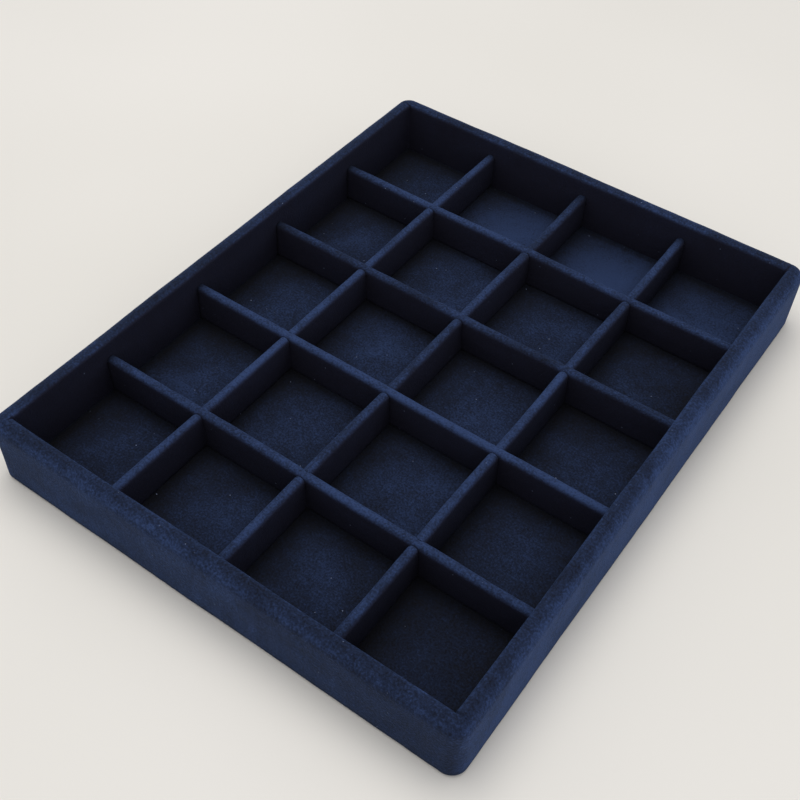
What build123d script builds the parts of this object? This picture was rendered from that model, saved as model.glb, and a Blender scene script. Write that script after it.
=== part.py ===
# Velvet-covered display tray: a shallow board frame in a stretched velvet wrap, with a lift-out
# grid of interlocking divider strips that makes 4 x 5 compartments for coins or small jewellery.
# Millimetres. X runs along the short side, Y along the long side, Z up.
# The origin is the middle of the underside, on the surface that the tray stands on.
import os

from build123d import *

# Outside of the finished tray
tray_width = 240.0
tray_length = 304.0
tray_height = 35.0
corner_radius = 7.0  # upright outer corners
rim_outer_radius = 5.0
rim_inner_radius = 2.0
foot_radius = 1.2  # lower outer edge

# Thickness of each layer
wall = 8.0  # finished wall, velvet on both faces
velvet = 0.9
felt = 0.6
board = 2.5
pad = 1.3

# Velvet turned under the base, and how far the felt stands back from the edge
turn_under = 14.0
felt_inset = 4.0
felt_corner_radius = 4.0

# Divider grid
column_pitch = 57.2
row_pitch = 59.0
divider_width = 4.8  # finished strip, velvet on both faces
divider_top = 26.3
divider_top_radius = 2.2
grid_clearance = 0.3  # between the grid and the well that it drops into
slot_clearance = 0.2  # on each side of a strip in its slot
lap_gap = 0.1  # between the ends of two slots that meet

# Brads
brad_radius = 0.6
brad_head_radius = 1.0
brad_head = 0.6
brad_length = 18.0
brad_clearance = 0.02
corner_brad_sink = 1.6  # how deep the corner brads are set below the rounded corner's face

# Levels and sizes that follow
board_bottom = felt + velvet
board_top = board_bottom + board
floor_top = board_top + pad + velvet
core_top = tray_height - velvet
core_width = tray_width - 2 * velvet
core_length = tray_length - 2 * velvet
core_corner_radius = corner_radius - velvet
wall_core = wall - 2 * velvet
well_width = tray_width - 2 * wall
well_length = tray_length - 2 * wall
grid_bottom = floor_top + grid_clearance
lap_level = (grid_bottom + divider_top) / 2
slot_width = divider_width + 2 * slot_clearance
column_lines = [-column_pitch, 0.0, column_pitch]
row_lines = [(n - 1.5) * row_pitch for n in range(4)]
cutter_overrun = 5.0  # how far a cutter passes the face that it opens

# Where the brads go: three up each corner, and a row along each wall under the base
corner_brad_levels = [10.0, 18.0, 26.0]
wall_middle_x = tray_width / 2 - velvet - wall_core / 2
wall_middle_y = tray_length / 2 - velvet - wall_core / 2
side_brads_y = [-105.0, -35.0, 35.0, 105.0]
end_brads_x = [-70.0, 0.0, 70.0]

parts = []


def keep(name, part):
    """Labels a finished piece and puts it on the list to write."""
    part.label = name
    parts.append(part)


def brad(plane, clearance=0.0):
    """One brad on its plane: the head lies just inside the plane's face, the shank runs along +Z."""
    with BuildPart() as nail:
        with BuildSketch(plane):
            Circle(brad_head_radius + clearance)
        extrude(amount=brad_head)
        with BuildSketch(plane):
            Circle(brad_radius + clearance)
        extrude(amount=brad_length)
    return nail.part


def brad_planes():
    """The planes of the corner brads and of the base brads, each with its shank along +Z."""
    face_y = core_length / 2 - corner_brad_sink
    corner = [
        Plane(origin=(side * wall_middle_x, end * face_y, level), z_dir=(0, -end, 0))
        for side in (-1, 1)
        for end in (-1, 1)
        for level in corner_brad_levels
    ]
    spots = [(side * wall_middle_x, y) for side in (-1, 1) for y in side_brads_y]
    spots += [(x, end * wall_middle_y) for end in (-1, 1) for x in end_brads_x]
    base = [Plane(origin=(x, y, board_bottom)) for x, y in spots]
    return corner, base


def strip_section(plane, width, top, radius):
    """The section of a divider strip: square at the foot, rounded along the top."""
    with BuildSketch(plane) as section:
        with Locations((0, (grid_bottom + top) / 2)):
            Rectangle(width, top - grid_bottom)
        fillet(section.vertices().group_by(Axis.Y)[-1], radius)
    return section.sketch


def divider(plane, length, slot_centres, slot_size, slot_levels, covered):
    """One divider strip, either its board core or the velvet folded over that core."""
    core_section = strip_section(
        plane, divider_width - 2 * velvet, divider_top - velvet, divider_top_radius - velvet
    )
    with BuildPart() as strip:
        if covered:
            extrude(strip_section(plane, divider_width, divider_top, divider_top_radius),
                    amount=length / 2, both=True)
            extrude(core_section, amount=length / 2, both=True, mode=Mode.SUBTRACT)
        else:
            extrude(core_section, amount=length / 2, both=True)
        with BuildSketch(Plane.XY.offset(slot_levels[0])):
            with Locations(*slot_centres):
                Rectangle(*slot_size)
        extrude(amount=slot_levels[1] - slot_levels[0], mode=Mode.SUBTRACT)
    return strip.part


corner_planes, base_planes = brad_planes()
corner_brad_solids = [brad(plane) for plane in corner_planes]
base_brad_solids = [brad(plane) for plane in base_planes]
brad_holes = [brad(plane, brad_clearance) for plane in corner_planes + base_planes]

# Base board, the full outline of the frame
with BuildPart() as base_board:
    with BuildSketch(Plane.XY.offset(board_bottom)):
        RectangleRounded(core_width, core_length, core_corner_radius)
    extrude(amount=board)
    add(brad_holes, mode=Mode.SUBTRACT)
keep("base_board", base_board.part)

# The four walls, cut from one ring that stands on the base board
with BuildPart() as wall_ring:
    with BuildSketch(Plane.XY.offset(board_top)):
        RectangleRounded(core_width, core_length, core_corner_radius)
        Rectangle(well_width + 2 * velvet, well_length + 2 * velvet, mode=Mode.SUBTRACT)
    extrude(amount=core_top - board_top)
    rim_face = wall_ring.faces().sort_by(Axis.Z)[-1]
    outer_rim = rim_face.outer_wire().edges()
    inner_rim = rim_face.inner_wires()[0].edges()
    fillet(outer_rim, rim_outer_radius - velvet)
    fillet(inner_rim, rim_inner_radius - velvet)

# Front and back walls run the full width; the side walls butt in between them
for name, end in (("front_wall", -1), ("back_wall", 1)):
    with BuildPart() as end_wall:
        add(wall_ring.part)
        with BuildSketch(Plane.XY):
            with Locations((0, end * wall_middle_y)):
                Rectangle(tray_width, wall_core)
        extrude(amount=tray_height, mode=Mode.INTERSECT)
        add(brad_holes, mode=Mode.SUBTRACT)
    keep(name, end_wall.part)

for name, side in (("left_wall", -1), ("right_wall", 1)):
    with BuildPart() as side_wall:
        add(wall_ring.part)
        with BuildSketch(Plane.XY):
            with Locations((side * wall_middle_x, 0)):
                Rectangle(wall_core, core_length - 2 * wall_core)
        extrude(amount=tray_height, mode=Mode.INTERSECT)
        add(brad_holes, mode=Mode.SUBTRACT)
    keep(name, side_wall.part)

# Brads that pin the wall corners and the base board
keep("corner_brads", Compound(children=corner_brad_solids))
keep("base_brads", Compound(children=base_brad_solids))

# Velvet wrap: one band turned under the base, up the outside, over the rim and down into the well
with BuildPart() as velvet_wrap:
    with BuildSketch(Plane.XY.offset(felt)):
        RectangleRounded(tray_width, tray_length, corner_radius)
    extrude(amount=tray_height - felt)
    with BuildSketch(Plane.XY.offset(board_top)):
        Rectangle(well_width, well_length)
    extrude(amount=tray_height, mode=Mode.SUBTRACT)
    top_face = velvet_wrap.faces().sort_by(Axis.Z)[-1]
    outer_edge = top_face.outer_wire().edges()
    inner_edge = top_face.inner_wires()[0].edges()
    foot_edge = velvet_wrap.faces().sort_by(Axis.Z)[0].outer_wire().edges()
    fillet(outer_edge, rim_outer_radius)
    fillet(inner_edge, rim_inner_radius)
    fillet(foot_edge, foot_radius)
    add(wall_ring.part, mode=Mode.SUBTRACT)
    with BuildSketch(Plane.XY.offset(board_bottom)):
        RectangleRounded(core_width, core_length, core_corner_radius)
    extrude(amount=board, mode=Mode.SUBTRACT)
    with BuildSketch(Plane.XY.offset(felt)):
        Rectangle(tray_width - 2 * turn_under, tray_length - 2 * turn_under)
    extrude(amount=velvet, mode=Mode.SUBTRACT)
keep("velvet_wrap", velvet_wrap.part)

# Felt under the base, the face that the tray stands on
with BuildPart() as underside_felt:
    with BuildSketch(Plane.XY):
        RectangleRounded(
            tray_width - 2 * felt_inset, tray_length - 2 * felt_inset, felt_corner_radius
        )
    extrude(amount=felt)
keep("underside_felt", underside_felt.part)

# Floor of the well: a thin foam pad under a velvet lining
for name, bottom, thickness in (
    ("floor_pad", board_top, pad),
    ("floor_velvet", board_top + pad, velvet),
):
    with BuildPart() as layer:
        with BuildSketch(Plane.XY.offset(bottom)):
            Rectangle(well_width, well_length)
        extrude(amount=thickness)
    keep(name, layer.part)

# Crosswise strips: whole along the top, slotted from below to ride over the lengthwise strips
for number, row_y in enumerate(row_lines, start=1):
    strip_plane = Plane(origin=(0, row_y, 0), x_dir=(0, 1, 0), z_dir=(1, 0, 0))
    for piece, covered in (("core", False), ("sleeve", True)):
        strip = divider(
            strip_plane,
            well_width - 2 * grid_clearance,
            [(x, row_y) for x in column_lines],
            (slot_width, 2 * divider_width),
            (grid_bottom - cutter_overrun, lap_level + lap_gap / 2),
            covered,
        )
        keep(f"cross_divider_{number}_{piece}", strip)

# Lengthwise strips: whole along the foot, slotted from above to take the crosswise strips
for number, column_x in enumerate(column_lines, start=1):
    strip_plane = Plane(origin=(column_x, 0, 0), x_dir=(1, 0, 0), z_dir=(0, -1, 0))
    for piece, covered in (("core", False), ("sleeve", True)):
        strip = divider(
            strip_plane,
            well_length - 2 * grid_clearance,
            [(column_x, y) for y in row_lines],
            (2 * divider_width, slot_width),
            (lap_level - lap_gap / 2, divider_top + cutter_overrun),
            covered,
        )
        keep(f"long_divider_{number}_{piece}", strip)

os.makedirs("parts", exist_ok=True)
for part in parts:
    export_step(part, f"parts/{part.label}.step")
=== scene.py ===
import math

import bmesh
import bpy
import numpy as np
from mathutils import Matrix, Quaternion, Vector, noise


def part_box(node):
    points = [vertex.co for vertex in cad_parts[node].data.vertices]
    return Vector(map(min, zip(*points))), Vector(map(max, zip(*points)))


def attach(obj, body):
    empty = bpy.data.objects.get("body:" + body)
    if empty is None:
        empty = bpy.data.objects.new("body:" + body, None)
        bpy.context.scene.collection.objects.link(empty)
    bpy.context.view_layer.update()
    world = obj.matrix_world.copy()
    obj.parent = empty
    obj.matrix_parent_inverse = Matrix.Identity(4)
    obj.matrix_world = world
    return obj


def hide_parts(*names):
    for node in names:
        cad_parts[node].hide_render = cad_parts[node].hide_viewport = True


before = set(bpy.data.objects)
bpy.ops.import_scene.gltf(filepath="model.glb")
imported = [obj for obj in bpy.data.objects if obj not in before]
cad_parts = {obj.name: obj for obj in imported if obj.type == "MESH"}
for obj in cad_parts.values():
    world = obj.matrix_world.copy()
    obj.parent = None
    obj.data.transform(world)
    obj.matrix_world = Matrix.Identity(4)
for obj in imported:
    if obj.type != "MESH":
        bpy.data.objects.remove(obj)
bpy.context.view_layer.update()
mm = 0.001
print("frame loaded:", len(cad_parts), "CAD nodes")


# Places read from the frame, in millimetres

def nodeBox(name):
    low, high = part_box(name)
    return np.array(low) / mm, np.array(high) / mm


wrapLow, wrapHigh = nodeBox("velvet_wrap")
floorLow, floorHigh = nodeBox("floor_velvet")
padLow, padHigh = nodeBox("floor_pad")
feltLow, feltHigh = nodeBox("underside_felt")
sleeveNames = sorted(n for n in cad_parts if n.endswith("_sleeve"))
crossNames = [n for n in sleeveNames if n.startswith("cross")]
longNames = [n for n in sleeveNames if n.startswith("long")]
crossBoxes = [nodeBox(n) for n in crossNames]
longBoxes = [nodeBox(n) for n in longNames]
rowLines = [(low[1] + high[1]) / 2 for low, high in crossBoxes]
columnLines = [(low[0] + high[0]) / 2 for low, high in longBoxes]
stripWidth = crossBoxes[0][1][1] - crossBoxes[0][0][1]
stripFoot = crossBoxes[0][0][2]
stripTop = crossBoxes[0][1][2]
lapLevel = (stripFoot + stripTop) / 2  # where the slots of two crossing strips meet


# Helpers for meshes

def showMesh(mesh, material, body):
    mesh.materials.append(material)
    piece = bpy.data.objects.new(mesh.name, mesh)
    bpy.context.scene.collection.objects.link(piece)
    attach(piece, body)
    return piece


def meshPiece(name, points, faces, material, body="tray"):
    mesh = bpy.data.meshes.new(name)
    mesh.from_pydata((np.asarray(points) * mm).tolist(), [], faces)
    mesh.update()
    mesh.shade_smooth()
    return showMesh(mesh, material, body)


def gridFaces(rows, columns, loop=False, cut=None):  # cut marks the cells left open
    faces = []
    for i in range(rows - 1):
        for j in range(columns if loop else columns - 1):
            k = (j + 1) % columns
            if cut is None or not cut[i, j]:
                here, after = i * columns, (i + 1) * columns
                faces.append((here + j, here + k, after + k, after + j))
    return faces


def stations(start, end, step, marks=(), reach=2.1, fineStep=0.3):  # closer together round each mark
    spots = list(np.linspace(start, end, round((end - start) / step) + 1))
    for mark in marks:
        spots = [s for s in spots if abs(s - mark) > reach + 0.01]
        spots += [mark + offset for offset in np.arange(-reach, reach + 0.01, fineStep)]
    spots = sorted(s for s in spots if start + 0.05 < s < end - 0.05)
    return np.array([start] + spots + [end])


def arc(centre, radius, first, last, steps):
    turns = np.radians(np.linspace(first, last, steps + 1))
    return [(centre[0] + radius * math.cos(a), centre[1] + radius * math.sin(a)) for a in turns]


def wander(points, size, seed):
    shift = Vector((seed * 7.3, seed * -3.1, seed * 1.7))
    return np.array([noise.noise(Vector(p) / size + shift) for p in points])


def meshPoints(piece):
    points = np.empty(len(piece.data.vertices) * 3)
    piece.data.vertices.foreach_get("co", points)
    return points.reshape(-1, 3) / mm


def meshNormals(piece):
    normals = np.empty(len(piece.data.vertices) * 3)
    piece.data.vertex_normals.foreach_get("vector", normals)
    return normals.reshape(-1, 3)


def setPoints(piece, points):
    piece.data.vertices.foreach_set("co", (points * mm).ravel())
    piece.data.update()


def ruffle(piece, layers, seed):
    points, normals = meshPoints(piece), meshNormals(piece)
    push = np.zeros(len(points))
    for number, (size, amount) in enumerate(layers):
        push += amount * wander(points, size, seed + number)
    setPoints(piece, points + normals * push[:, None])


def thicken(piece, thickness):
    skin = piece.modifiers.new("thickness", "SOLIDIFY")
    skin.thickness = thickness * mm
    skin.offset = -1
    skin.use_rim = True


def setNapShading(piece, values):  # per point: painted light (above 0) or painted shade (below 0), as if the pile leaned to the light or away from it
    napShading = piece.data.attributes.new("napShading", "FLOAT", "POINT")
    napShading.data.foreach_set("value", np.asarray(values, dtype=float))


def fade(distance, reach):  # 1 at the place itself, 0 from reach on
    return np.clip(1 - np.abs(distance) / reach, 0, 1) ** 2


def grow(values, start, run):  # 0 up to start, 1 from start + run on
    return np.clip((values - start) / run, 0, 1)


# Materials

def linear(hexColour):
    parts = [int(hexColour[i:i + 2], 16) / 255 for i in (1, 3, 5)]
    return [c / 12.92 if c <= 0.04045 else ((c + 0.055) / 1.055) ** 2.4 for c in parts] + [1.0]


def addNode(tree, kind, settings=(), inputs=()):
    node = tree.nodes.new("ShaderNode" + kind)
    for key, value in dict(settings).items():
        setattr(node, key, value)
    for key, value in dict(inputs).items():
        if isinstance(value, bpy.types.NodeSocket):
            tree.links.new(value, node.inputs[key])
        else:
            node.inputs[key].default_value = value
    return node


def newMaterial(name):
    material = bpy.data.materials.new(name)
    material.use_nodes = True
    tree = material.node_tree
    tree.nodes.clear()
    shader = addNode(tree, "BsdfPrincipled")
    output = addNode(tree, "OutputMaterial", inputs={"Surface": shader.outputs["BSDF"]})
    output.is_active_output = True
    place = addNode(tree, "TexCoord").outputs["Object"]
    return material, tree, shader, place


def pattern(size):
    return 1 / (size * mm)  # texture scale for features of a size in millimetres


def colourRamp(tree, factor, stops):
    ramp = addNode(tree, "ValToRGB", inputs={"Fac": factor})
    while len(ramp.color_ramp.elements) < len(stops):
        ramp.color_ramp.elements.new(0.5)
    for element, (position, colour) in zip(ramp.color_ramp.elements, stops):
        element.position = position
        element.color = linear(colour)
    return ramp.outputs["Color"]


velvetLook = {
    "deep": "#0b101e",  # darkest pile tone: random dark patches, and painted shade where the nap shading is low
    "body": "#19243d",
    "lit": "#2c3d63",  # lightest pile tone: random light patches, and painted light where the nap shading is high
    "recessShadeColour": "#08080d",  # painted shade: the colour mixed in deep in a recess
    "side": "#1b1a27",  # painted shade on upright faces turned from the light
    "lintColour": "#6f7a95",
    "rampStops": (0.36, 0.5, 0.66),  # where deep, body and lit sit between pile laid away and towards
    "sheen": 0.2,
    "sheenRoughness": 0.42,
    "sheenTint": "#5680c4",
    "grain": 1.0,  # the flock is 0.3 mm, drawn coarser so that it shows
    "mottle": 5.0,
    "brush": 34.0,  # patches brushed one way by a hand
    "stroke": (3.2, 3.2, 20.0),  # single strokes, long and narrow
    "strokeTurn": (0.6, 0.35, 0.0),  # radians
    "shares": {"brush": 0.28, "stroke": 0.08, "mottle": 0.16, "grain": 0.48},
    "lintSpacing": 6.6,
    "lintSize": 0.27,
    "matt": (0.78, 0.98),
    "bump": 0.5,
    "recess": 40.0,  # painted shade: how far the occlusion look reaches when it darkens a recess
    "lightSide": (-0.58, 0.30, 0.76),  # the way to the light, so a wall on this side shades the most
    "tilt": 0.8,  # how far the look around leans to the light
    "closed": 0.3,
    "open": 0.85,
    "recessShade": 0.1,
    "turned": (-0.3, 0.45),  # a face goes from turned away to turned towards the light between these
    "awayFaceShare": 0.15,  # painted shade: share of its own colour kept on a face turned away from the light
}


def scaled(tree, value, factor, add=0.0):
    return addNode(tree, "Math", {"operation": "MULTIPLY_ADD"}, {0: value, 1: factor, 2: add}).outputs[0]


def mixed(tree, share, first, second):
    blend = addNode(tree, "Mix", {"data_type": "RGBA"}, {0: share, 6: first, 7: second})
    return blend.outputs[2]


def ranged(tree, value, low, high, start=0.0, end=1.0):
    return addNode(tree, "MapRange", inputs={
        "Value": value, "From Min": start, "From Max": end, "To Min": low, "To Max": high}).outputs[0]


def paintedWellShade(tree, colour, look):  # painted shade: the colour darkened in a well by ambient occlusion and on faces turned from the light, and how much light is left there
    facing = addNode(tree, "NewGeometry").outputs["True Normal"]
    leaning = addNode(tree, "VectorMath", {"operation": "MULTIPLY_ADD"}, {
        0: look["lightSide"], 1: [look["tilt"]] * 3, 2: facing})
    sight = addNode(tree, "AmbientOcclusion", {"samples": 8}, {
        "Distance": look["recess"] * mm, "Normal": leaning.outputs["Vector"]})
    shade = ranged(tree, sight.outputs["AO"], look["recessShade"], 1.0, look["closed"], look["open"])
    toLight = addNode(tree, "VectorMath", {"operation": "DOT_PRODUCT"}, {0: facing, 1: look["lightSide"]})
    towardLight = ranged(tree, toLight.outputs["Value"], look["awayFaceShare"], 1.0, *look["turned"])
    sunk = mixed(tree, shade, linear(look["recessShadeColour"]), colour)
    return mixed(tree, towardLight, linear(look["side"]), sunk), scaled(tree, shade, towardLight)


def finishSurface(tree, shader, colour, matt, height, depth, strength):
    tree.links.new(colour, shader.inputs["Base Color"])
    tree.links.new(matt, shader.inputs["Roughness"])
    bump = addNode(tree, "Bump", inputs={"Height": height, "Distance": depth * mm, "Strength": strength})
    tree.links.new(bump.outputs["Normal"], shader.inputs["Normal"])


def navyVelvet(name, shadeInWell=True):
    # Flocked cotton velvet: short dense pile, matt from above and paler where it is seen along the pile
    look = velvetLook
    shares = look["shares"]
    material, tree, shader, place = newMaterial(name)
    brush = addNode(tree, "TexNoise", inputs={
        "Vector": place, "Scale": pattern(look["brush"]), "Detail": 3.0, "Distortion": 0.7})
    mottle = addNode(tree, "TexNoise", inputs={
        "Vector": place, "Scale": pattern(look["mottle"]), "Detail": 4.0, "Roughness": 0.6})
    grain = addNode(tree, "TexNoise", inputs={
        "Vector": place, "Scale": pattern(look["grain"]), "Detail": 2.0, "Roughness": 0.7})
    strokeScale = [pattern(size) for size in look["stroke"]]
    strokePlace = addNode(tree, "Mapping", inputs={
        "Vector": place, "Rotation": look["strokeTurn"], "Scale": strokeScale})
    stroke = addNode(tree, "TexNoise", inputs={
        "Vector": strokePlace.outputs["Vector"], "Scale": 1.0, "Detail": 1.0})
    # Nap shading from the mesh: painted light and shade per point, added to the random pile tone
    napShading = addNode(tree, "Attribute", {"attribute_name": "napShading"}).outputs["Fac"]
    pile = scaled(tree, brush.outputs["Fac"], shares["brush"], napShading)
    pile = scaled(tree, stroke.outputs["Fac"], shares["stroke"], pile)
    pile = scaled(tree, mottle.outputs["Fac"], shares["mottle"], pile)
    pile = scaled(tree, grain.outputs["Fac"], shares["grain"], pile)
    colours = [look["deep"], look["body"], look["lit"]]
    colour = colourRamp(tree, pile, list(zip(look["rampStops"], colours)))
    cells = addNode(tree, "TexVoronoi", inputs={"Vector": place, "Scale": pattern(look["lintSpacing"])})
    speck = addNode(tree, "Math", {"operation": "LESS_THAN"}, {
        0: cells.outputs["Distance"], 1: look["lintSize"] / look["lintSpacing"]})
    paleness = addNode(tree, "SeparateColor", inputs={0: cells.outputs["Color"]}).outputs[0]
    lint = scaled(tree, speck.outputs[0], paleness)
    shader.inputs["Sheen Weight"].default_value = look["sheen"]
    # In the well the painted shade darkens the colour and also scales down the sheen weight
    if shadeInWell:
        colour, lit = paintedWellShade(tree, colour, look)
        tree.links.new(scaled(tree, lit, look["sheen"]), shader.inputs["Sheen Weight"])
    colour = mixed(tree, lint, colour, linear(look["lintColour"]))
    matt = ranged(tree, mottle.outputs["Fac"], *look["matt"])
    height = scaled(tree, mottle.outputs["Fac"], 0.8, grain.outputs["Fac"])
    finishSurface(tree, shader, colour, matt, height, look["bump"], 0.7)
    shader.inputs["IOR"].default_value = 1.5
    shader.inputs["Specular IOR Level"].default_value = 0.15
    shader.inputs["Sheen Roughness"].default_value = look["sheenRoughness"]
    shader.inputs["Sheen Tint"].default_value = linear(look["sheenTint"])
    return material


feltLook = {
    "dark": "#0c0f17",
    "light": "#1d2230",
    "fibre": 0.9,
    "clump": 4.0,
    "matt": (0.88, 1.0),
    "bump": 0.3,
    "sheen": 0.2,
    "sheenTint": "#5a6480",
}


def woolFelt(name):
    # Pressed wool felt: matted fibres in no direction, dull with no gloss at all
    look = feltLook
    material, tree, shader, place = newMaterial(name)
    fibre = addNode(tree, "TexNoise", inputs={
        "Vector": place, "Scale": pattern(look["fibre"]), "Detail": 6.0, "Distortion": 2.5})
    clump = addNode(tree, "TexNoise", inputs={
        "Vector": place, "Scale": pattern(look["clump"]), "Detail": 3.0})
    blend = scaled(tree, fibre.outputs["Fac"], 0.6, clump.outputs["Fac"])
    colour = colourRamp(tree, blend, [(0.55, look["dark"]), (1.0, look["light"])])
    matt = ranged(tree, fibre.outputs["Fac"], *look["matt"])
    finishSurface(tree, shader, colour, matt, fibre.outputs["Fac"], look["bump"], 0.8)
    shader.inputs["Specular IOR Level"].default_value = 0.1
    shader.inputs["Sheen Weight"].default_value = look["sheen"]
    shader.inputs["Sheen Tint"].default_value = linear(look["sheenTint"])
    return material


boardLook = {
    "fleck": "#4a4238",
    "dark": "#6c6252",
    "light": "#a09480",
    "fibre": 1.6,
    "ply": 0.5,
    "plyShare": 0.12,
    "matt": (0.75, 0.95),
    "bump": 0.1,
}


def greyBoard(name):
    # Grey bookbinder's board: pressed recycled fibre, layered at its cut edges, with darker flecks
    look = boardLook
    material, tree, shader, place = newMaterial(name)
    fibre = addNode(tree, "TexNoise", inputs={
        "Vector": place, "Scale": pattern(look["fibre"]), "Detail": 5.0, "Distortion": 1.2})
    bandScale = pattern(look["ply"]) * 0.314  # a wave's band is 2 pi / 20 of its unit
    layers = addNode(tree, "TexWave", {"bands_direction": "DIAGONAL"}, {
        "Vector": place, "Scale": bandScale, "Distortion": 3.0, "Detail": 3.0})
    blend = scaled(tree, layers.outputs["Fac"], look["plyShare"], fibre.outputs["Fac"])
    colour = colourRamp(tree, blend, [(0.3, look["fleck"]), (0.45, look["dark"]), (0.85, look["light"])])
    matt = ranged(tree, fibre.outputs["Fac"], *look["matt"])
    finishSurface(tree, shader, colour, matt, blend, look["bump"], 0.6)
    return material


foamLook = {
    "shade": "#a8a294",
    "face": "#d8d3c6",
    "cell": 1.0,
    "yellowing": 18.0,
    "matt": (0.85, 1.0),
    "bump": 0.35,
}


def openFoam(name):
    # Open-cell polyurethane foam: small burst bubbles, off-white and yellowing
    look = foamLook
    material, tree, shader, place = newMaterial(name)
    cells = addNode(tree, "TexVoronoi", {"feature": "SMOOTH_F1"}, {
        "Vector": place, "Scale": pattern(look["cell"]), "Smoothness": 0.3})
    tint = addNode(tree, "TexNoise", inputs={
        "Vector": place, "Scale": pattern(look["yellowing"]), "Detail": 3.0})
    blend = scaled(tree, tint.outputs["Fac"], 0.4, cells.outputs["Distance"])
    colour = colourRamp(tree, blend, [(0.25, look["shade"]), (0.8, look["face"])])
    matt = ranged(tree, tint.outputs["Fac"], *look["matt"])
    finishSurface(tree, shader, colour, matt, cells.outputs["Distance"], look["bump"], 0.9)
    return material


steelLook = {"dull": "#8d8f90", "bright": "#bcbfc0", "blotch": 0.8, "worn": (0.3, 0.5), "bump": 0.02}


def bradSteel(name):
    # Drawn steel wire, zinc plated: grey metal, dulled in small blotches
    look = steelLook
    material, tree, shader, place = newMaterial(name)
    blotch = addNode(tree, "TexNoise", inputs={
        "Vector": place, "Scale": pattern(look["blotch"]), "Detail": 3.0})
    colour = colourRamp(tree, blotch.outputs["Fac"], [(0.3, look["dull"]), (0.7, look["bright"])])
    worn = ranged(tree, blotch.outputs["Fac"], *look["worn"])
    finishSurface(tree, shader, colour, worn, blotch.outputs["Fac"], look["bump"], 0.5)
    shader.inputs["Metallic"].default_value = 1.0
    return material


# The velvet twice: with painted shade for the well, without it for the outside faces
velvet = navyVelvet("navyFlockedVelvet")
velvetOutside = navyVelvet("navyFlockedVelvetOutside", shadeInWell=False)
felt = woolFelt("darkPressedFelt")
board = greyBoard("greyBinderBoard")
foam = openFoam("openCellFoam")
steel = bradSteel("zincPlatedBradWire")
print("materials made")


# Hidden structure: the CAD's own boards and brads keep their meshes

for nodeName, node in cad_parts.items():
    if nodeName.endswith("_wall") or nodeName == "base_board":
        node.data.materials.clear()
        node.data.materials.append(board)
    elif nodeName.endswith("_brads"):
        node.data.materials.clear()
        node.data.materials.append(steel)


# Velvet wrap: one band turned under the base, up the outside, over the rim and down into the well

wrapLook = {
    "cloth": 0.85,
    "turnUnder": 14.0,
    "outerCorner": 7.0,
    "innerCorner": 0.7,
    "footRadius": 1.2,
    "rimOuterRadius": 5.0,
    "rimInnerRadius": 2.0,
    "rimCrown": 0.15,
    "step": 2.0,
    "cornerReach": 3.0,  # finer steps this far along from each corner
    "arcSteps": 14,
    "ruffles": [(55.0, 0.35), (16.0, 0.14), (5.0, 0.05)],
    "seamDepth": 0.6,
    "seamWidth": 0.32,
    "seamLap": 0.22,
    "seamLapRun": 3.0,
    "seamStart": (-1.0, 0.8),  # out from the well's corner: where it starts, how soon it is full
    "seamLength": 6.5,
    "seamFade": 1.5,
    "seamReach": 12,
    "rimBand": (5.5, 2.0),  # down from the top: where rim shapes start, how soon they are full
    "creasePlace": 92.5,  # a small pinch in the front rim's inner lip
    "creaseDepth": 0.35,
    "creaseWidth": 0.9,
    "creaseLength": 4.0,
    # painted shade in the crease
    "creaseShade": -0.1,
}

# How much the nap shading paints each band of the wrap lighter or darker, and where the band lies, in
# from the outside
# and down from the top, in millimetres: a painted highlight on the inner lip and the shoulder, painted
# shade on the rim top, a painted contact shadow at the foot, and painted light on the outside and the
# right face
wrapPile = {
    "lip": {"napShading": 0.09, "beforeWell": 0.6, "reach": 1.6, "drop": 2.0},
    "shoulder": {"napShading": 0.05, "depth": 1.2, "reach": 2.2, "down": 1.8, "drop": 4.0},
    "rim": {"napShading": -0.03, "depth": 2.0, "run": 2.0, "drop": 2.0},
    "outside": {"napShading": 0.02, "depth": 3.0},
    # painted contact shadow where the foot of the wrap meets the ground
    "foot": {"napShading": -0.3, "height": 2.6, "run": 1.6},
    "front": {"napShading": -0.05, "run": 100},  # the front face dulls a little towards its right end
    "right": {"napShading": 0.05},
}


def wrapNapShading(points):
    lip, shoulder, rim, outside, foot, front, right = wrapPile.values()
    fromRight = wrapHigh[0] - points[:, 0]
    fromFront = wrapHigh[1] + points[:, 1]
    depth = np.minimum(wrapHigh[0] - np.abs(points[:, 0]), wrapHigh[1] - np.abs(points[:, 1]))
    fromTop = wrapHigh[2] - points[:, 2]
    wall = wrapHigh[0] - floorHigh[0]
    napShading = lip["napShading"] * fade(depth - (wall - lip["beforeWell"]), lip["reach"]) * fade(fromTop, lip["drop"])
    napShading += (shoulder["napShading"] * fade(depth - shoulder["depth"], shoulder["reach"])
            * fade(fromTop - shoulder["down"], shoulder["drop"]))
    napShading += rim["napShading"] * grow(depth, rim["depth"], rim["run"]) * np.clip(1 - fromTop / rim["drop"], 0, 1)
    napShading += outside["napShading"] * np.clip(1 - depth / outside["depth"], 0, 1)
    napShading += foot["napShading"] * grow(-points[:, 2], -foot["height"], foot["run"])
    onFront = np.clip(1 - fromFront / outside["depth"], 0, 1)
    napShading += front["napShading"] * onFront * grow(points[:, 0], 0, front["run"])
    napShading += right["napShading"] * np.clip(1 - fromRight / outside["depth"], 0, 1)
    return napShading


def sides(halfX, halfY):
    for quarter in range(4):
        a = quarter * math.pi / 2
        along = np.array([round(math.cos(a)), round(math.sin(a))])
        outward = np.array([round(math.sin(a)), -round(math.cos(a))])
        reach, out = (halfX, halfY) if quarter % 2 == 0 else (halfY, halfX)
        yield along, outward, reach, out


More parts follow.
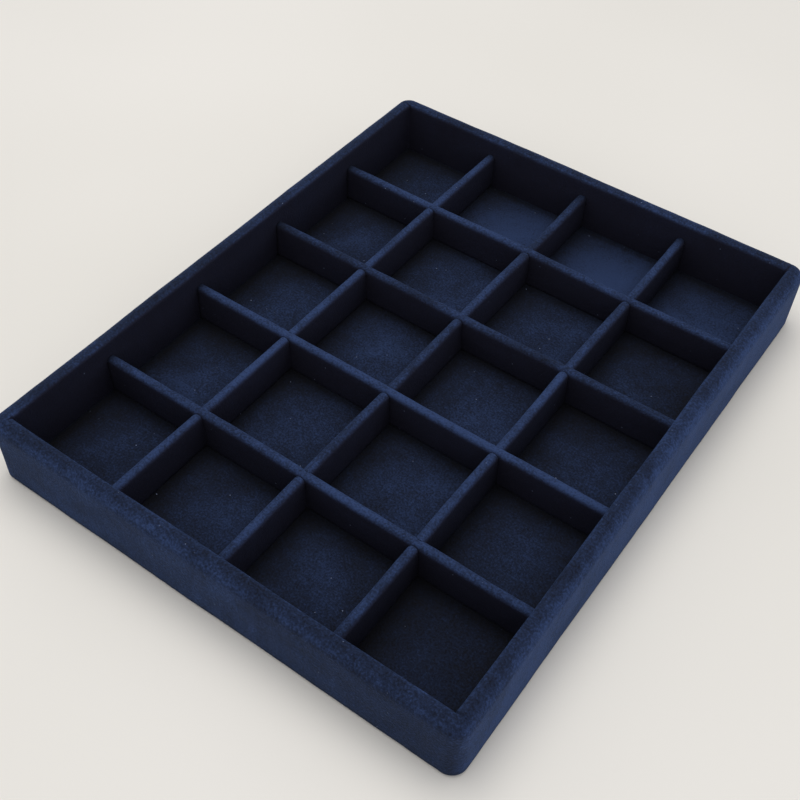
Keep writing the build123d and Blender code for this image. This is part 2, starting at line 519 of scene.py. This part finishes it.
def roundedOutline(halfX, halfY, radius, spotsX, spotsY, arcSteps):
    points = []
    for quarter, (along, outward, reach, out) in enumerate(sides(halfX, halfY)):
        straight = reach - radius
        for spot in spotsX if quarter % 2 == 0 else spotsY:
            points.append(along * spot * straight + outward * out)
        for step in range(1, arcSteps):
            a = math.pi / 2 * step / arcSteps
            swing = outward * math.cos(a) + along * math.sin(a)
            points.append(along * straight + outward * (out - radius) + swing * radius)
    return np.array(points)


def wrapProfile(look):
    low, top = wrapLow[2], wrapHigh[2]
    wall = wrapHigh[0] - floorHigh[0]
    foot, outer, inner = look["footRadius"], look["rimOuterRadius"], look["rimInnerRadius"]
    profile = [(inset, low) for inset in np.linspace(look["turnUnder"], foot + 0.8, 7)]
    profile += arc((foot, low + foot), foot, -90, -180, 4)
    profile += [(0.0, z) for z in np.linspace(low + foot, top - outer, 15)[1:-1]]
    profile += arc((outer, top - outer), outer, 180, 90, 12)
    profile += arc((wall - inner, top - inner), inner, 90, 0, 8)
    profile += [(wall, z) for z in np.linspace(top - inner, padLow[2], 15)[1:]]
    return profile


def wrapSpots(reach, look):  # places along one straight side, as shares of its half length
    ends = reach - look["outerCorner"]
    return stations(-ends, ends, look["step"], (-ends + 1, ends - 1), look["cornerReach"]) / ends


def wrapShape(points, look):  # the push of the corner seams and the crease, and the crease itself
    push = np.zeros(len(points))
    bandTop, bandRun = look["rimBand"]
    onRim = grow(points[:, 2], wrapHigh[2] - bandTop, bandRun)
    for along, outward, reach, out in sides(floorHigh[0], floorHigh[1]):
        across = points[:, :2] @ along + reach  # distance along the rim from the well's corner
        outside = points[:, :2] @ outward - out
        onSeam = onRim * grow(outside, *look["seamStart"])
        onSeam *= np.clip((look["seamLength"] - outside) / look["seamFade"], 0, 1)
        onSeam *= np.abs(across) < look["seamReach"]
        push -= look["seamDepth"] * onSeam * np.exp(-((across / look["seamWidth"]) ** 2))
        push += look["seamLap"] * onSeam * np.where(across > 0, np.exp(-across / look["seamLapRun"]), 0)
    atLip = fade(points[:, 1] + floorHigh[1], look["creaseLength"]) * onRim
    crease = atLip * np.exp(-((points[:, 0] - look["creasePlace"]) / look["creaseWidth"]) ** 2)
    return push - look["creaseDepth"] * crease, crease


def makeWrap():
    look = wrapLook
    halfX, halfY = wrapHigh[0], wrapHigh[1]
    wall = wrapHigh[0] - floorHigh[0]
    spotsX, spotsY = wrapSpots(halfX, look), wrapSpots(halfY, look)
    rings = []
    profile = wrapProfile(look)
    for inset, z in profile:
        share = min(inset / wall, 1.0)
        radius = look["outerCorner"] * (1 - share) + look["innerCorner"] * share
        ring = roundedOutline(halfX - inset, halfY - inset, radius, spotsX, spotsY, look["arcSteps"])
        crown = look["rimCrown"] * math.sin(math.pi * share) if z > wrapHigh[2] - 0.1 else 0.0
        rings.append(np.column_stack([ring, np.full(len(ring), z + crown)]))
    faces = gridFaces(len(rings), len(rings[0]), loop=True)
    wrap = meshPiece("velvetWrap", np.vstack(rings), faces, velvet)
    wrap.data.materials.append(velvetOutside)
    lastOutside = max(i for i, (inset, z) in enumerate(profile) if inset < look["rimOuterRadius"] + 0.01)
    for face in wrap.data.polygons:
        face.material_index = 1 if face.index // len(rings[0]) < lastOutside else 0
    ruffle(wrap, look["ruffles"], 3)
    points, normals = meshPoints(wrap), meshNormals(wrap)
    push, crease = wrapShape(points, look)
    setPoints(wrap, points + normals * push[:, None])
    # nap shading per point, with painted shade in the crease
    setNapShading(wrap, wrapNapShading(points) + look["creaseShade"] * crease)
    thicken(wrap, look["cloth"])
    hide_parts("velvet_wrap")


makeWrap()
print("velvet wrap made")


# Floor of the well: foam pad, and the velvet lining that swells between the strips

floorLook = {
    "grid": 3.0,
    "cloth": 0.8,
    "seat": 0.36,
    "swell": 0.55,
    "heldBeside": 0.4,  # the lining is held this far out from a strip's side
    "tuck": 0.5,
    "tuckReach": 2.5,
    "ruffles": [(30.0, 0.22), (9.0, 0.10), (3.5, 0.04)],
}

# How much the nap shading paints each part of the lining lighter or darker, and where that starts and how
# soon it is full, in millimetres out from the middle: painted light in the middle of each cell and
# towards the back, painted shade at the strips and walls and towards the right, the front and the left
floorPile = {
    "centre": {"napShading": 0.05, "start": 6, "run": 18},
    "edge": {"napShading": -0.14, "reach": 5},  # painted shade where the lining meets a strip or a wall
    "right": {"napShading": -0.06, "start": 45, "run": 30},
    "front": {"napShading": -0.03, "start": 75, "run": 25},
    "left": {"napShading": -0.03, "start": 50, "run": 15, "behind": -70, "behindRun": 30},
    "back": {"napShading": 0.13, "start": 75, "run": 25, "rightOf": -80, "rightRun": 60},
}

clothSettings = {
    "quality": 6,
    "mass": 0.15,
    "vertex_group_mass": "held",
    "tension_stiffness": 8,
    "compression_stiffness": 8,
    "bending_stiffness": 0.2,
    "use_pressure": True,
    "uniform_pressure_force": 1.2,
}
clothFrames = 20


def floorGrid(low, high, step):
    xs = np.linspace(low[0], high[0], round((high[0] - low[0]) / step) + 1)
    ys = np.linspace(low[1], high[1], round((high[1] - low[1]) / step) + 1)
    points = np.array([(x, y, high[2]) for y in ys for x in xs])
    return points, gridFaces(len(ys), len(xs))


def lineDistance(points):  # how far each point is from the nearest strip or wall
    lines = (columnLines, rowLines)
    gaps = [np.abs(points[:, k] - at) for k in (0, 1) for at in lines[k] + [floorLow[k], floorHigh[k]]]
    return np.min(gaps, axis=0)


def swellByCloth(piece, held):
    group = piece.vertex_groups.new(name="held")
    group.add([int(i) for i in np.nonzero(held)[0]], 1.0, "REPLACE")
    before = meshPoints(piece)
    cloth = piece.modifiers.new("swell", "CLOTH")
    for key, value in clothSettings.items():
        setattr(cloth.settings, key, value)
    cloth.settings.effector_weights.gravity = 0
    cloth.collision_settings.use_collision = False
    for number in range(1, clothFrames + 1):
        bpy.context.scene.frame_set(number)
    solved = piece.evaluated_get(bpy.context.evaluated_depsgraph_get())
    after = np.array([v.co for v in solved.data.vertices]) / mm
    piece.modifiers.remove(cloth)
    bpy.context.scene.frame_set(1)
    rise = np.clip(np.abs(after[:, 2] - before[:, 2]), 0, 3)
    print("cloth rise, mm:", round(float(rise.max()), 3), "mean", round(float(rise.mean()), 3))
    return rise / max(rise.max(), 0.001)


def floorNapShading(points, distance):
    x, y = points[:, 0], points[:, 1]
    centre, edge, right, front, left, back = floorPile.values()
    napShading = centre["napShading"] * grow(distance, centre["start"], centre["run"])
    napShading += edge["napShading"] * fade(distance - stripWidth / 2, edge["reach"])
    napShading += right["napShading"] * grow(x, right["start"], right["run"])
    napShading += left["napShading"] * grow(-x, left["start"], left["run"]) * grow(y, left["behind"], left["behindRun"])
    napShading += back["napShading"] * grow(y, back["start"], back["run"]) * grow(x, back["rightOf"], back["rightRun"])
    return napShading + front["napShading"] * grow(-y, front["start"], front["run"])


def makeFloor():
    look = floorLook
    points, faces = floorGrid(floorLow, floorHigh, look["grid"])
    lining = meshPiece("floorVelvet", points, faces, velvet)
    distance = lineDistance(points)
    rise = swellByCloth(lining, distance < stripWidth / 2 + look["heldBeside"])
    fromWall = np.minimum(floorHigh[0] - np.abs(points[:, 0]), floorHigh[1] - np.abs(points[:, 1]))
    points[:, 2] += look["seat"] + look["swell"] * rise - look["tuck"] * fade(fromWall, look["tuckReach"])
    setPoints(lining, points)
    setNapShading(lining, floorNapShading(points, distance))
    smooth = lining.modifiers.new("smooth", "SUBSURF")
    smooth.levels = smooth.render_levels = 1
    ruffle(lining, look["ruffles"], 11)
    thicken(lining, look["cloth"])
    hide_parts("floor_velvet")


makeFloor()
print("floor velvet made")


padLook = {
    "grid": 4.0,
    "inset": 0.4,
    "below": 0.15,
    "thinner": 0.25,
    "ruffles": [(12.0, 0.10), (4.0, 0.06)],
}


def makePad():
    look = padLook
    points, faces = floorGrid(padLow + look["inset"], padHigh - look["below"], look["grid"])
    pad = meshPiece("floorPad", points, faces, foam)
    ruffle(pad, look["ruffles"], 23)
    thicken(pad, padHigh[2] - padLow[2] - look["thinner"])
    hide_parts("floor_pad")


makePad()


# Felt under the base

feltShape = {
    "corner": 4.0,
    "step": 4.0,
    "edgeReach": 2.0,
    "edgeStep": 0.5,
    "fuzz": 0.05,
    "fuzzSize": 3.0,
}


def makeFelt():
    look = feltShape
    low, high = feltLow, feltHigh
    radius, reach = look["corner"], look["edgeReach"]
    xs, ys = [
        stations(a, b, look["step"], (a + reach, b - reach), reach, look["edgeStep"])
        for a, b in zip(low[:2], high[:2])
    ]
    cornerX, cornerY = high[0] - radius, high[1] - radius
    points = []
    for y in ys:
        for x in xs:
            u = max(abs(x) - cornerX, 0) / radius
            v = max(abs(y) - cornerY, 0) / radius
            point = [x, y, high[2] - 0.02]
            if u > 0 and v > 0:  # the corner square drawn in to a quarter circle
                point[0] = math.copysign(cornerX + radius * u * math.sqrt(1 - v * v / 2), x)
                point[1] = math.copysign(cornerY + radius * v * math.sqrt(1 - u * u / 2), y)
            points.append(point)
    sheet = meshPiece("undersideFelt", points, gridFaces(len(ys), len(xs)), felt)
    points = meshPoints(sheet)
    points[:, 2] -= look["fuzz"] * (0.5 + wander(points, look["fuzzSize"], 31))
    setPoints(sheet, points)
    thicken(sheet, high[2] - low[2] - 0.1)
    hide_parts("underside_felt")


makeFelt()
print("pad and felt made")


# Divider strips: velvet folded over a board, open at the foot and at both ends

gridLook = {
    "drift": 0.8,
    "driftSize": 75,
    "sag": 0.24,
    "sagSize": 60,
    "height": 9,  # the bow is full this far above the foot
}


def gridDrift(points):  # slight bowing of the whole grid, nothing at the foot or the walls
    look = gridLook
    flatPoints = points * np.array([1, 1, 0])
    loose = grow(points[:, 2], stripFoot, look["height"])
    fromWall = 1 - np.abs(points[:, :2] / floorHigh[:2]) ** 6
    driftX = look["drift"] * wander(flatPoints, look["driftSize"], 41) * fromWall[:, 0]
    driftY = look["drift"] * wander(flatPoints, look["driftSize"], 47) * fromWall[:, 1]
    driftZ = -look["sag"] * (0.5 + wander(flatPoints, look["sagSize"], 53))
    return points + np.column_stack([driftX, driftY, driftZ]) * loose[:, None]


def pieceName(node):
    return node.replace("_sleeve", "Sleeve").replace("_core", "Core").replace("_divider_", "Divider")


coreLook = {
    "width": 0.84,  # share of the CAD board's width, so that it stays inside the sleeve
    "lower": 0.4,
    "cut": 6.0,  # length of the pieces the board is divided into, so that it can bow
}


def makeCore(name):  # the board inside a strip, bowed along with its sleeve
    look = coreLook
    low, high = nodeBox(name)
    axis = 1 if name.startswith("long") else 0
    along = Vector((1 - axis, axis, 0))
    shape = bmesh.new()
    shape.from_mesh(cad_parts[name].data)
    for spot in np.arange(low[axis] + look["cut"], high[axis] - 1, look["cut"]):
        geometry = shape.verts[:] + shape.edges[:] + shape.faces[:]
        bmesh.ops.bisect_plane(shape, geom=geometry, plane_co=along * spot * mm, plane_no=along)
    mesh = bpy.data.meshes.new(pieceName(name))
    shape.to_mesh(mesh)
    shape.free()
    core = showMesh(mesh, board, "divider_grid")
    points = meshPoints(core)
    middle = (low + high) / 2
    points[:, 1 - axis] = middle[1 - axis] + (points[:, 1 - axis] - middle[1 - axis]) * look["width"]
    points[:, 2] -= look["lower"] * grow(points[:, 2], lapLevel, high[2] - lapLevel)
    setPoints(core, gridDrift(points))
    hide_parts(name)
    return core


stripLook = {
    "cloth": 0.8,
    "topRadius": 2.25,
    "slotNear": 2.46,  # slot edges either side of the crossing's line
    "slotFar": 1.3,
    "step": 1.6,
    "seat": 0.08,  # how far the crosswise strips sit back in their slots
    "settle": 0.14,  # the lengthwise strips sit this much lower
    "roundReach": 1.4,  # a lengthwise strip's fold dips where it meets the near side of a crossing
    "roundDrop": 0.34,
    "roundPinch": 0.1,
    "ruffles": [(22.0, 0.16), (7.0, 0.10), (3.0, 0.04)],
    "topShadingFrom": -4.0,  # the painted lift of a strip's top starts this far from the top
    "topShadingRun": 3.0,
    # how much each strip's top is painted lighter: partly painted highlight, partly tone that differs
    # from strip to strip
    "crossTopShading": [0.07, 0.11, 0.0, 0.06],  # front to back
    "longTopShading": [0.09, 0.03, 0.06],  # left to right
}


def sleeveProfile():  # up one side, over the rounded top and down the other
    half, radius = stripWidth / 2, stripLook["topRadius"]
    shoulder = stripTop - radius
    side = list(np.linspace(stripFoot, lapLevel, 8)) + list(np.linspace(lapLevel, shoulder, 7))[1:]
    profile = [(half, z) for z in side]
    profile += arc((half - radius, shoulder), radius, 0, 90, 6)[1:]
    return profile + [(-offset, z) for offset, z in reversed(profile)]


def roundNearEnds(points, edges, middle):
    look = stripLook
    gaps = [edge - points[:, 1] for edge in edges]
    nearEnd = np.max([fade(gap, look["roundReach"]) * (gap >= -0.01) for gap in gaps], axis=0)
    upper = grow(points[:, 2], lapLevel, stripTop - lapLevel)
    points[:, 2] -= look["roundDrop"] * nearEnd * upper ** 2 + look["settle"] * upper
    points[:, 0] = middle + (points[:, 0] - middle) * (1 - look["roundPinch"] * nearEnd * upper)


def slotEnds(rows, columns, cut):  # closes the fold at both ends of each upper length
    faces = []
    half = rows // 2
    top = cut[half - 1]
    for j in range(1, columns - 1):
        if top[j] == top[j - 1]:
            continue
        for i in range(half - 1):
            if cut[i].any():
                corners = [row * columns + j for row in (i, i + 1, rows - 2 - i, rows - 1 - i)]
                faces.append(tuple(corners if top[j] else reversed(corners)))
    return faces


def makeSleeve(name, low, high, crossing):
    look = stripLook
    lengthwise = name.startswith("long")
    axis = 1 if lengthwise else 0
    middle = (low + high) / 2
    near = look["slotNear"]
    far = look["slotFar"] if lengthwise else near
    slotEdges = [line + offset for line in crossing for offset in (-near, far)]
    spots = stations(low[axis], high[axis], look["step"], slotEdges)
    profile = sleeveProfile()
    points = []
    for offset, z in profile:
        for spot in spots:
            points.append((offset, spot, z) if lengthwise else (spot, -offset, z))
    points = np.array(points, dtype=float)
    points[:, 1 - axis] += middle[1 - axis]
    if lengthwise:
        roundNearEnds(points, np.array(crossing) - near, middle[0])
    else:
        points[:, 1] += look["seat"]
    levels = np.array([z for offset, z in profile])
    midLevels = (levels[1:] + levels[:-1]) / 2
    slotRows = midLevels > lapLevel if lengthwise else midLevels < lapLevel
    centres = (spots[1:] + spots[:-1]) / 2
    inSlot = np.any([(centres > line - near) & (centres < line + far) for line in crossing], axis=0)
    cut = slotRows[:, None] & inSlot[None, :]
    faces = gridFaces(len(profile), len(spots), cut=cut)
    if lengthwise:
        faces += slotEnds(len(profile), len(spots), cut)
    return meshPiece(pieceName(name), gridDrift(points), faces, velvet, "divider_grid")


def makeStrip(name, box, crossing, napShading, seed):
    look = stripLook
    low, high = box
    core = makeCore(name.replace("_sleeve", "_core"))
    sleeve = makeSleeve(name, low, high, crossing)
    ruffle(sleeve, look["ruffles"], seed)
    # the strip's top painted lighter by its listed amount
    setNapShading(sleeve, napShading * grow(meshPoints(sleeve)[:, 2], stripTop + look["topShadingFrom"], look["topShadingRun"]))
    thicken(sleeve, look["cloth"])
    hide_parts(name)


for number, (name, box) in enumerate(zip(crossNames, crossBoxes)):
    makeStrip(name, box, columnLines, stripLook["crossTopShading"][number], 61 + number)
for number, (name, box) in enumerate(zip(longNames, longBoxes)):
    makeStrip(name, box, rowLines, stripLook["longTopShading"][number], 71 + number)
print("divider sleeves made")


# Studio: pale floor, soft light from above and behind, camera

studio = {
    "floorColour": "#e8e5e0",
    "floorShade": "#e2dfd9",
    "floorSize": 6.0,
    "cloud": 350.0,
    "tooth": 1.5,
    "matt": (0.8, 1.0),
    "world": 0.57,
    "worldColour": "#f6f7fa",
    "lights": {
        "topLight": {"place": (-0.18, 0.12, 1.35), "size": 1.1, "power": 10.5, "colour": "#fffdf8"},
        "sideLight": {"place": (1.3, 0.05, 0.34), "size": 0.5, "power": 2.0, "colour": "#e3ebff"},
        "fillLight": {"place": (0.35, -1.1, 0.75), "size": 1.2, "power": 1.7, "colour": "#fffcfa"},
    },
}


def paleCard(name):
    # Matt card: off-white with the faintest cloudiness
    material, tree, shader, place = newMaterial(name)
    cloud, tooth = [
        addNode(tree, "TexNoise", inputs={"Vector": place, "Scale": pattern(studio[size]), "Detail": 2.0})
        for size in ("cloud", "tooth")
    ]
    colour = colourRamp(tree, cloud.outputs["Fac"], [
        (0.3, studio["floorShade"]), (0.7, studio["floorColour"])])
    tree.links.new(colour, shader.inputs["Base Color"])
    tree.links.new(ranged(tree, tooth.outputs["Fac"], *studio["matt"]), shader.inputs["Roughness"])
    shader.inputs["Specular IOR Level"].default_value = 0.1
    return material


def makeStudio():
    half = studio["floorSize"] / 2
    mesh = bpy.data.meshes.new("studioFloor")
    corners = [(-half, -half, 0), (half, -half, 0), (half, half, 0), (-half, half, 0)]
    mesh.from_pydata(corners, [], [(0, 1, 2, 3)])
    mesh.materials.append(paleCard("paleCard"))
    ground = bpy.data.objects.new("studioFloor", mesh)
    bpy.context.scene.collection.objects.link(ground)
    world = bpy.data.worlds.new("studio")
    bpy.context.scene.world = world
    world.use_nodes = True
    sky = world.node_tree.nodes["Background"]
    sky.inputs["Color"].default_value = linear(studio["worldColour"])
    sky.inputs["Strength"].default_value = studio["world"]
    for name, values in studio["lights"].items():
        lamp = bpy.data.lights.new(name, "AREA")
        lamp.size = values["size"]
        lamp.energy = values["power"]
        lamp.color = linear(values["colour"])[:3]
        light = bpy.data.objects.new(name, lamp)
        bpy.context.scene.collection.objects.link(light)
        light.location = values["place"]
        light.rotation_mode = "QUATERNION"
        light.rotation_quaternion = (-Vector(values["place"])).to_track_quat("-Z", "Y")


makeStudio()

cameraView = {
    "lens": 52.3,
    "azimuth": 33.87,
    "elevation": 48.10,
    "distance": 0.5453,
    "aim": (-0.0054, -0.0121, 0.0),
    "roll": 2.39,
}


def makeCamera():
    azimuth, elevation = math.radians(cameraView["azimuth"]), math.radians(cameraView["elevation"])
    back = Vector((
        math.sin(azimuth) * math.cos(elevation),
        -math.cos(azimuth) * math.cos(elevation),
        math.sin(elevation),
    ))
    camera = bpy.data.objects.new("camera", bpy.data.cameras.new("camera"))
    bpy.context.scene.collection.objects.link(camera)
    camera.data.lens = cameraView["lens"]
    camera.location = Vector(cameraView["aim"]) + back * cameraView["distance"]
    camera.rotation_mode = "QUATERNION"
    roll = Quaternion((0, 0, 1), math.radians(cameraView["roll"]))
    camera.rotation_quaternion = (-back).to_track_quat("-Z", "Y") @ roll
    camera.data.clip_start = 0.01
    bpy.context.scene.camera = camera


makeCamera()
bpy.context.scene.view_settings.view_transform = "Standard"
print("studio and camera set")
